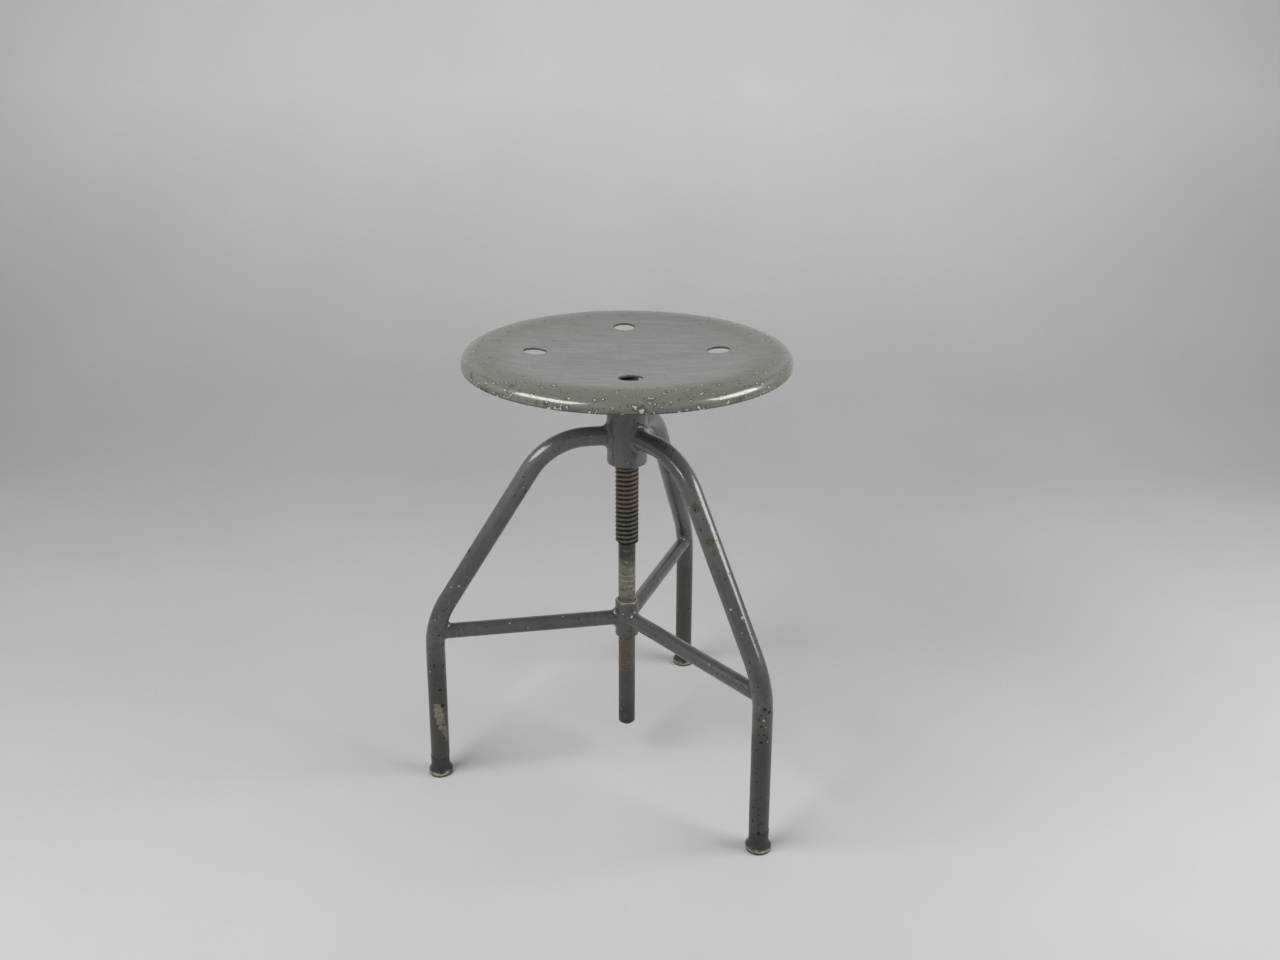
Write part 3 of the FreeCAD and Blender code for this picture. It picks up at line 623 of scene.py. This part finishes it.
def foot_material():
    """The frame's paint on turned steel, rubbed off to brown and bright steel where the
    sole meets the floor. Its lowest millimetres stay dark as painted contact shadow, and the
    bright steel is as light as a glint, partly a painted highlight."""
    look = settings().paint
    material, add, place, surface = start_material("painted_steel_foot_worn", {"IOR": 1.5})
    z = add("axes", place)["Z"]
    grain = add("clouds", place, per(5), 4.0, 0.7)
    edge = add("ADD", z, add("MULTIPLY", grain, 6 * MM))
    rim = add("range", edge, *FOOT_BARE)
    patch = add("range", add("clouds", place, per(9), 3.0, 0.55), 0.36, 0.5)
    # Painted shade: the lowest 2 mm keep the dark paint, for the contact shadow on the floor
    rim = add("MULTIPLY", rim, add("range", z, *FOOT_CONTACT_SHADE, 0.1, 1.0))
    worn = add("MULTIPLY", rim, patch)
    # Bare steel of the soles, as light as a glint: partly a painted highlight
    steel = add("mix", add("range", grain, 0.5, 0.62), look.foot_worn, look.bare)
    dark = [c * 0.55 for c in look.foot]
    colour = add("mix", add("range", grain, 0.35, 0.65), look.foot, dark)
    brown = settings().seat.rust
    colour = add("mix", add("range", edge, *FOOT_BROWN, 0.0, 0.5), colour, brown)
    colour = add("mix", worn, colour, steel)
    pits = specks(add, place, 5, 2.4, 0.6)
    colour = add("mix", add("range", pits, *SPOT), colour, look.pit)
    metal = add("MULTIPLY", worn, 0.8)
    rough = add("range", grain, 0.3, 0.7, 0.26, 0.5)
    relief = add("bump", grain, 0.12 * MM)
    dress(surface, base_color=colour, metallic=metal, roughness=rough, normal=relief)
    return material


# Heights between which the oiled thread turns dry
THREAD_DRY = (HUB_LOW.z - 54 * MM, HUB_LOW.z - 46 * MM)


def thread_material():
    """Cut steel thread: dry and rusty brown above, dark with old oil below, rubbed to bare
    steel on the crests, with painted shade darkening its roots."""
    look = settings().screw
    material, add, place, surface = start_material("cut_steel_thread_oiled", {"IOR": 1.5})
    radius = add("length", add("times", place, LEVEL))
    grain = add("clouds", place, per(4), 4.0, 0.7)
    wander = add("MULTIPLY", add("SUBTRACT", grain, 0.5), 24 * MM)
    height = add("ADD", add("axes", place)["Z"], wander)
    dry = add("range", height, *THREAD_DRY)
    crest = SCREW_HIGH.x
    top = add("range", radius, crest - 0.6 * MM, crest - 0.1 * MM)
    root = add("range", radius, crest - 1.4 * MM, crest - look.depth)
    brown = add("mix", add("range", grain, 0.35, 0.7), look.steel_brown, look.steel_dark)
    colour = add("mix", dry, look.steel_dark, brown)
    rubbed = add("MULTIPLY", top, add("range", grain, 0.4, 0.62, 0.1, 0.65))
    colour = add("mix", rubbed, colour, look.steel_worn)
    # Painted shade: the roots of the thread darkened nearly to black
    root_shade = [c * 0.25 for c in look.steel_dark]
    colour = add("mix", add("MULTIPLY", root, 0.7), colour, root_shade)
    metal = add("MULTIPLY", rubbed, 0.4)
    rough = add("range", grain, 0.3, 0.7, 0.3, 0.55)
    relief = add("bump", grain, 0.15 * MM)
    dress(surface, base_color=colour, metallic=metal, roughness=rough, normal=relief)
    return material


# Heights on the rod in metres, with the seat as it stands: where rust turns to grease and
# grease to old oil, where the paint ends, where it turns darker towards the bottom, and where
# its chips crowd
ROD_GREASE, ROD_OIL = (0.192, 0.205), (0.236, 0.25)
ROD_PAINT, ROD_DARKER_LOW, ROD_CHIPS = (0.1115, 0.1105), (0.062, 0.08), (0.09, 0.06)
# Rings that the collar rubbed on it: height and half width in millimetres
ROD_RINGS = ((222, 1.0), (210, 1.2), (228, 0.5), (216, 0.5))


def rod_material():
    """Drawn steel bar under dried grease: dark at the top, khaki with rubbed rings, rusty
    brown below the collar and painted at its lower end."""
    look = settings().screw
    material, add, place, surface = start_material("drawn_steel_bar_greased", {"IOR": 1.5})
    z = add("axes", place)["Z"]
    grain = add("clouds", place, per(6), 4.0, 0.7)
    wander = add("MULTIPLY", add("SUBTRACT", grain, 0.5), 9 * MM)
    height = add("ADD", z, wander)
    lines = add("clouds", add("times", place, (0.12, 0.12, 1)), per(2.2), 3.0, 0.55)
    colour = add("mix", add("range", height, *ROD_OIL), look.rod_khaki, look.rod_dark)
    bent = add("ADD", z, add("MULTIPLY", wander, 0.25))
    for level, width in ROD_RINGS:
        off = add("ABSOLUTE", add("SUBTRACT", bent, level * MM))
        ring = add("range", off, width * MM, width * MM / 2)
        broken = add("MULTIPLY", ring, add("range", grain, 0.4, 0.55, 0.2, 0.85))
        colour = add("mix", broken, colour, look.rod_ring)
    blots = add("clouds", place, per(4), 5.0, 0.75)
    colour = add("mix", add("range", blots, 0.5, 0.66, 0.0, 0.75), colour, look.rod_dark)
    colour = add("mix", add("range", lines, 0.5, 0.64, 0.0, 0.6), colour, look.rod_dark)
    pale = add("range", lines, 0.44, 0.34)
    pale = add("MULTIPLY", pale, add("range", blots, 0.55, 0.4))
    colour = add("mix", add("MULTIPLY", pale, 0.8), colour, look.rod_ring)
    brown = add("mix", add("range", grain, 0.4, 0.65), look.rod_brown, look.steel_brown)
    brown = add("mix", add("range", lines, 0.45, 0.7, 0.0, 0.5), brown, look.rod_dark)
    brown = add("mix", add("range", blots, 0.48, 0.66, 0.0, 0.5), brown, look.rod_dark)
    colour = add("mix", add("range", height, *ROD_GREASE), brown, colour)
    painted = add("range", z, *ROD_PAINT)
    # The painted end turns darker towards the bottom
    end = add("mix", add("range", height, *ROD_DARKER_LOW), look.rod_dark, look.rod_paint)
    colour = add("mix", painted, colour, end)
    soot = add("range", blots, 0.45, 0.65, 0.0, 0.55)
    colour = add("mix", add("MULTIPLY", soot, painted), colour, look.steel_dark)
    spots = specks(add, place, 5, 1.6, add("range", z, *ROD_CHIPS, 0.25, 0.8))
    colour = add("mix", add("range", spots, *SPOT), colour, look.steel_dark)
    scars = specks(add, place, 4, 1.8, add("range", z, *ROD_CHIPS, 0.1, 0.6))
    scarred = add("MULTIPLY", add("range", scars, *SPOT), painted)
    colour = add("mix", add("MULTIPLY", scarred, 0.6), colour, look.rod_ring)
    rough = add("range", grain, 0.3, 0.7, 0.28, 0.5)
    relief = add("bump", grain, 0.08 * MM)
    dress(surface, base_color=colour, roughness=rough, normal=relief)
    return material


# Heights in metres between which the floor takes on the wall's colour
FLOOR_TO_WALL = (0.05, 0.6)


def floor_material():
    """Matt emulsion on a studio sweep: pale, even, with a faint cloudiness."""
    look = settings().stage
    material, add, place, surface = start_material("matt_studio_paint", {"Roughness": 0.9})
    cloud = add("range", add("clouds", place, per(350), 3.0, 0.55), 0.3, 0.7, 0.95, 1.0)
    rise = add("range", add("axes", place)["Z"], *FLOOR_TO_WALL)
    pale = add("mix", rise, look.floor, look.wall)
    dress(surface, base_color=add("scaled", pale, cloud))
    return material


# Pieces


def seat_outline(look):
    """The seat's section as (radius, height) points: its top from the middle out, round the
    rim, and its underside back."""
    outer, low = SEAT_HIGH.x, SEAT_LOW.z
    rim_in = outer - look.sheet
    bend = (outer - look.rim_bend, low + look.rim_drop)
    crest = (look.crest_radius, SEAT_HIGH.z - look.crest_bend)
    fall = 90 - math.degrees(look.shoulder_slope)
    span = look.dish_bend + look.crest_bend
    reach = look.crest_radius - look.dish_flat
    dish_turn = math.degrees(math.asin(reach / span))
    dish = (look.dish_flat, crest[1] + math.sqrt(span**2 - reach**2))
    edge = look.edge_round

    def skin(inset):
        """The run from the flat middle to the rim, this far inside the top surface."""
        flat = dish[1] - look.dish_bend - inset
        points = [(step * look.dish_flat / 8, flat) for step in range(8)]
        points += arc(dish, look.dish_bend + inset, -90, dish_turn - 90, 24)
        points += arc(crest, look.crest_bend - inset, 90 + dish_turn, fall, 8)[1:]
        points += arc(bend, look.rim_bend - inset, fall, 0, 10)
        return points

    lower_edge = arc((outer - edge, low + edge), edge, 0, -90, 3)
    lower_edge += arc((rim_in + edge, low + edge), edge, -90, -180, 3)
    return skin(0) + lower_edge + skin(look.sheet)[::-1]


def punch_outline(look):
    """The outline of a punch that leaves a rounded edge on both faces of the sheet."""
    hole, edge, half = look.hole_width / 2, look.edge_round, look.sheet / 2
    upper = arc((hole + edge, half - edge), edge, 180, 100, 4)
    lower = arc((hole + edge, edge - half), edge, 260, 180, 4)
    reach = 3 * look.sheet
    flare = hole + 2 * edge
    return [(0, -reach), (flare, -reach), *lower, *upper, (flare, reach), (0, reach)]


def make_seat():
    """Presses the seat, punches its holes and gives the pressing its unevenness."""
    look = settings().seat
    seat = turned("pressed_seat", seat_outline(look), SEAT_STEPS)
    circle = look.hole_circle / 2
    slope = math.asin((circle - look.dish_flat) / look.dish_bend)
    rise = look.dish_bend * (1 - math.cos(slope))
    middle = PLATE_HIGH.z + look.sheet / 2 + rise
    for number in range(4):
        punch = turned("punch", punch_outline(look), PUNCH_STEPS)
        angle = look.hole_angle + number * math.pi / 2
        place = Matrix.Rotation(angle, 4, "Z") @ Matrix.Translation((circle, 0, middle))
        punch.data.transform(place @ Matrix.Rotation(-slope, 4, "Y"))
        with_modifier(seat, "BOOLEAN", operation="DIFFERENCE", object=punch, solver="EXACT")
        bpy.data.objects.remove(punch)
    dents = bpy.data.textures.new("dents", "CLOUDS")
    dents.noise_scale = look.dent_width
    with_modifier(
        seat,
        "DISPLACE",
        texture=dents,
        texture_coords="LOCAL",
        direction="Z",
        mid_level=1.0,
        strength=look.dent_depth,
    )
    return finish_piece(seat, "seat", enamel_material(), ["seat_pan"])


def make_screw():
    """Cuts the thread as a swept section, then trims it to the turned blank."""
    look = settings().screw
    crest, low, high = SCREW_HIGH.x, SCREW_LOW.z, PLATE_LOW.z
    root = crest - look.depth
    flank = (look.pitch - look.crest_width - look.root_width) / 2
    wear = look.crest_wear
    lower = look.root_width + flank
    upper = lower + look.crest_width
    section = [
        (root, 0),
        (root, look.root_width),
        (crest - wear, lower - wear / 2),
        (crest, lower + wear),
        (crest, upper - wear),
        (crest - wear, upper + wear / 2),
        (root, look.pitch),
    ]
    turns = math.ceil((high - low) / look.pitch) + 3
    thread = draw_outline("lifting_screw", section)
    start = low - 1.5 * look.pitch
    bpy.ops.mesh.select_all(action="SELECT")
    bpy.ops.transform.translate(value=(0, 0, start))
    bpy.ops.object.mode_set(mode="OBJECT")
    with_modifier(
        thread,
        "SCREW",
        axis="Z",
        angle=2 * math.pi,
        screw_offset=look.pitch,
        iterations=turns,
        steps=SCREW_STEPS,
        render_steps=SCREW_STEPS,
        use_merge_vertices=True,
        merge_threshold=0.001 * MM,
    )
    bpy.ops.object.mode_set(mode="EDIT")
    for height, away in ((low - 0.2 * MM, -1), (high + 0.2 * MM, 1)):
        bpy.ops.mesh.select_all(action="SELECT")
        bpy.ops.mesh.bisect(
            plane_co=(0, 0, height), plane_no=(0, 0, away), use_fill=True, clear_outer=True
        )
    close_up()
    thread.data.transform(Matrix.Rotation(look.start_turn, 4, "Z"))

    socket, spigot = look.journal / 2, look.spigot / 2
    bevel = look.depth / 2
    floor = low + look.journal_depth
    outline = [(socket, low), (root, low), (crest, low + bevel)]
    outline += [(crest + MM, low + bevel + MM / 2), (crest + MM, high)]
    outline += [(0, high), (0, floor), (socket, floor)]
    blank = turned("blank", outline, SCREW_STEPS)
    with_modifier(thread, "BOOLEAN", operation="INTERSECT", object=blank, solver="EXACT")
    bpy.data.objects.remove(blank)
    end = SCREW_HIGH.z
    outline = [(0, high - MM), (spigot, high - MM), (spigot, end), (0, end)]
    top = turned("top", outline, SCREW_STEPS)
    with_modifier(thread, "BOOLEAN", operation="UNION", object=top, solver="EXACT")
    bpy.data.objects.remove(top)
    return finish_piece(thread, "seat", thread_material(), ["screw"], 35)


def paint_nodes(names, material):
    """Gives CAD nodes a material."""
    for name in names:
        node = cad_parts[name]
        node.data.materials.clear()
        node.data.materials.append(material)


SIDES = ("rear", "left", "right")


def make_brazes(material):
    """Copies each fillet of braze and raises the lumps that the torch left."""
    look = settings().paint
    lumps = bpy.data.textures.new("lumps", "CLOUDS")
    lumps.noise_scale = look.lump_width
    for joint in ("hub", "knee", "collar"):
        for side in SIDES:
            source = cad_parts[f"{joint}_braze_{side}"]
            only(source)
            bpy.ops.object.duplicate()
            piece = new_piece(f"lumpy_{joint}_braze_{side}")
            bpy.ops.object.mode_set(mode="EDIT")
            close_up()
            with_modifier(
                piece,
                "DISPLACE",
                texture=lumps,
                texture_coords="LOCAL",
                mid_level=0.5,
                strength=look.lump_height,
            )
            finish_piece(piece, "frame", material, [source.name], 60)


# Drops of braze that ran onto the hub: turn from +X in degrees, height, width and length
# in millimetres
HUB_DROPS = (
    (-130, 392, 2.6, 6.0), (-124, 389, 2.0, 3.0), (-102, 401, 2.6, 2.8), (-90, 401.5, 2.0, 2.0),
    (-99, 407, 2.4, 2.8), (-109, 386, 2.2, 3.4), (-50, 388, 2.8, 5.0), (8, 393.5, 2.4, 2.6),
    (62, 391, 2.4, 3.6), (118, 388, 2.2, 2.6), (176, 398, 2.4, 3.0),
)


def make_drops(material):
    """Flattened drops of braze on the hub, sunk a little into its wall."""
    drops = []
    for turn, height, width, length in HUB_DROPS:
        bpy.ops.mesh.primitive_uv_sphere_add(segments=16, ring_count=10, radius=MM / 2)
        drop = new_piece("braze_drops")
        shape = Matrix.Diagonal((0.5 * width, width, length, 1))
        place = Matrix.Translation((HUB_HIGH.x, 0, height * MM))
        drop.data.transform(Matrix.Rotation(math.radians(turn), 4, "Z") @ place @ shape)
        drops.append(drop)
    bpy.ops.object.select_all(action="DESELECT")
    for drop in drops:
        drop.select_set(True)
    bpy.context.view_layer.objects.active = drops[0]
    bpy.ops.object.join()
    finish_piece(drops[0], "frame", material, smooth=60)


# Ripples in each weld, and their depth
WELD_RIPPLES = {"screw_weld": 26, "pan_weld": 60}
RIPPLE_DEPTH = 0.45 * MM


def make_welds(material):
    """Gives the two ring welds under the seat the ripples of a weld run by hand."""
    for name, ripples in WELD_RIPPLES.items():
        low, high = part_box(name)
        outer = high.x
        leg = high.z - low.z
        inner = outer - leg
        section = [(inner, high.z), (inner, low.z)]
        section += arc((inner, high.z), leg, -90, 0, 6)[1:]
        weld = turned("rippled_" + name, section, ripples * 4)
        bpy.ops.object.mode_set(mode="EDIT")
        step = 2 * math.pi / ripples

        def in_valley(vertex):
            """True on the outer face in one of the four rings of a ripple."""
            turn = math.atan2(vertex.co.y, vertex.co.x) % step
            away = math.hypot(vertex.co.x, vertex.co.y) - inner
            face = away > 0.1 * MM and high.z - vertex.co.z > 0.1 * MM
            return face and (turn < step / 8 or turn > step * 7 / 8)

        select_in_edit(weld, in_valley)
        bpy.ops.transform.shrink_fatten(value=-RIPPLE_DEPTH)
        bpy.ops.object.mode_set(mode="OBJECT")
        finish_piece(weld, "seat", material, [name], 60)


# Soft boxes: turn from the camera's line and height in degrees, width in metres and watts
LAMPS = (("lamp_left", -58, 40, 1.15, 20), ("lamp_right", 78, 29, 1.0, 17))


def soft_lamp(name, side, height, width, power):
    """A soft box at an angle to the camera's line, aimed at the middle of the stool."""
    stage = settings().stage
    bpy.ops.object.light_add(type="AREA")
    lamp = bpy.context.object
    lamp.name = name
    lamp.data.shape = "RECTANGLE"
    lamp.data.size = width
    lamp.data.size_y = stage.lamp_depth
    lamp.data.energy = power
    turn = stage.heading + math.radians(side)
    middle = Vector((0, 0, stage.lamp_aim))
    away = Vector((math.sin(turn), -math.cos(turn), math.tan(math.radians(height))))
    lamp.location = middle + away.normalized() * stage.lamp_distance
    lamp.rotation_euler = (middle - lamp.location).to_track_quat("-Z", "Y").to_euler()


def make_floor(material):
    """A floor that curves up into a wall behind the stool, square to the camera."""
    stage = settings().stage
    bpy.ops.object.select_all(action="DESELECT")
    bpy.ops.mesh.primitive_plane_add(size=2 * stage.floor_reach)
    floor = new_piece("studio_floor")
    bpy.ops.object.mode_set(mode="EDIT")
    reach = stage.floor_reach
    select_in_edit(floor, lambda vertex: vertex.co.y > 0)
    bpy.ops.transform.translate(value=(0, stage.wall_distance - reach, 0))
    bpy.ops.mesh.extrude_edges_move(TRANSFORM_OT_translate={"value": (0, 0, stage.wall_height)})
    select_in_edit(
        floor,
        lambda edge: all(abs(v.co.z) < MM and v.co.y > 0 for v in edge.verts),
        "edges",
    )
    bpy.ops.mesh.bevel(offset=stage.sweep, segments=24)
    bpy.ops.object.mode_set(mode="OBJECT")
    floor.data.transform(Matrix.Rotation(stage.heading, 4, "Z"))
    only(floor)
    bpy.ops.object.shade_smooth()
    floor.data.materials.append(material)


def make_camera():
    """The camera that sees the stool as it stands."""
    stage = settings().stage
    bpy.ops.object.camera_add()
    camera = bpy.context.object
    camera.name = "camera"
    camera.data.sensor_width = 36
    camera.data.lens = stage.lens
    turn = Matrix.Rotation(stage.heading, 4, "Z")
    tilt = Matrix.Rotation(math.pi / 2 - stage.pitch, 4, "X")
    roll = Matrix.Rotation(stage.roll, 4, "Z")
    place = Matrix.Translation((stage.camera_x, stage.camera_y, stage.camera_z))
    camera.matrix_world = place @ turn @ tilt @ roll
    bpy.context.scene.camera = camera


# The light from all round: its colour and strength
FILL, FILL_STRENGTH = (0.97, 0.98, 1.0), 0.26
# The surround's share of its colour overhead, and the upward slopes between which it dims
OVERHEAD, OVERHEAD_FROM, OVERHEAD_TO = 0.35, 0.4, 0.62


def make_world():
    """Plain studio light from all round, and a pale surround to the eye and to gloss."""
    stage = settings().stage
    world = bpy.data.worlds.new("studio")
    bpy.context.scene.world = world
    world.use_nodes = True
    world.node_tree.nodes.clear()
    add = partial(add_node, world.node_tree)
    rays = add("rays")
    seen = add("MAXIMUM", rays["Is Camera Ray"], rays["Is Glossy Ray"])
    seen = add("MAXIMUM", seen, rays["Is Transmission Ray"])
    slope = add("axes", add("coordinates")["Generated"])["Z"]
    dim = [c * OVERHEAD for c in stage.surround]
    above = add("range", slope, OVERHEAD_FROM, OVERHEAD_TO)
    shade = add("mix", above, stage.surround, dim)
    add("sky", add("either", seen, add("glow", FILL, FILL_STRENGTH), add("glow", shade, 1.0)))


# Operators


class STOOL_OT_seat(bpy.types.Operator):
    """Press, punch and enamel the seat"""

    bl_idname = "stool.seat"
    bl_label = "Seat"

    def execute(self, context):
        make_seat()
        return {"FINISHED"}


class STOOL_OT_seat_plate(bpy.types.Operator):
    """Finish the plate and the weld beads under the seat"""

    bl_idname = "stool.seat_plate"
    bl_label = "Plate and welds"

    def execute(self, context):
        material = paint_material("brushed_paint_on_welds", 0.1)
        paint_nodes(["seat_plate"], material)
        make_welds(material)
        return {"FINISHED"}


class STOOL_OT_screw(bpy.types.Operator):
    """Cut the lifting screw and age it"""

    bl_idname = "stool.screw"
    bl_label = "Lifting screw"

    def execute(self, context):
        make_screw()
        return {"FINISHED"}


class STOOL_OT_rod(bpy.types.Operator):
    """Age the guide rod"""

    bl_idname = "stool.rod"
    bl_label = "Guide rod"

    def execute(self, context):
        paint_nodes(["guide_rod"], rod_material())
        return {"FINISHED"}


class STOOL_OT_frame(bpy.types.Operator):
    """Paint the legs, stretchers, hub and collar"""

    bl_idname = "stool.frame"
    bl_label = "Frame"

    def execute(self, context):
        names = [f"{part}_{side}" for part in ("leg", "stretcher") for side in SIDES]
        paint_nodes(names, paint_material("brushed_paint_on_tube", 0.0, chosen=True))
        paint_nodes(["hub"], paint_material("brushed_paint_on_hub", 0.01))
        edges = (COLLAR_LOW.z, COLLAR_HIGH.z)
        collar_paint = paint_material("brushed_paint_on_collar", 0.01, rings=edges)
        paint_nodes(["guide_collar"], collar_paint)
        return {"FINISHED"}


class STOOL_OT_brazes(bpy.types.Operator):
    """Raise and paint the lumps of the brazed joints"""

    bl_idname = "stool.brazes"
    bl_label = "Brazes"

    def execute(self, context):
        material = paint_material("brushed_paint_on_braze", 0.08)
        make_brazes(material)
        make_drops(material)
        return {"FINISHED"}


class STOOL_OT_feet(bpy.types.Operator):
    """Wear the three feet"""

    bl_idname = "stool.feet"
    bl_label = "Feet"

    def execute(self, context):
        paint_nodes([f"foot_{side}" for side in SIDES], foot_material())
        return {"FINISHED"}


class STOOL_OT_stage(bpy.types.Operator):
    """Set the floor, the lamps, the surround and the camera"""

    bl_idname = "stool.stage"
    bl_label = "Stage"

    def execute(self, context):
        context.scene.view_settings.view_transform = "Standard"
        make_camera()
        make_floor(floor_material())
        make_world()
        for lamp in LAMPS:
            soft_lamp(*lamp)
        return {"FINISHED"}


OPERATORS = (
    STOOL_OT_stage,
    STOOL_OT_seat,
    STOOL_OT_seat_plate,
    STOOL_OT_screw,
    STOOL_OT_rod,
    STOOL_OT_frame,
    STOOL_OT_brazes,
    STOOL_OT_feet,
)


class STOOL_PT_panel(bpy.types.Panel):
    """Lists the stool's settings and operators"""

    bl_idname = "STOOL_PT_panel"
    bl_label = "Workshop stool"
    bl_space_type = "VIEW_3D"
    bl_region_type = "UI"
    bl_category = "Stool"

    def draw(self, context):
        for name in ("seat", "screw", "paint", "stage"):
            group = getattr(context.scene.stool, name)
            box = self.layout.box()
            box.label(text=name.capitalize())
            for key in group.bl_rna.properties.keys():
                if key not in ("rna_type", "name"):
                    box.prop(group, key)
        for operator in OPERATORS:
            self.layout.operator(operator.bl_idname)


CLASSES = (
    SeatSettings,
    ScrewSettings,
    PaintSettings,
    StageSettings,
    StoolSettings,
    *OPERATORS,
    STOOL_PT_panel,
)


def register():
    for kind in CLASSES:
        bpy.utils.register_class(kind)
    bpy.types.Scene.stool = bpy.props.PointerProperty(type=StoolSettings)


def unregister():
    del bpy.types.Scene.stool
    for kind in reversed(CLASSES):
        bpy.utils.unregister_class(kind)


def main():
    register()
    bpy.ops.stool.stage()
    bpy.ops.stool.seat()
    bpy.ops.stool.seat_plate()
    bpy.ops.stool.screw()
    bpy.ops.stool.rod()
    bpy.ops.stool.frame()
    bpy.ops.stool.brazes()
    bpy.ops.stool.feet()


if __name__ == "__main__":
    main()
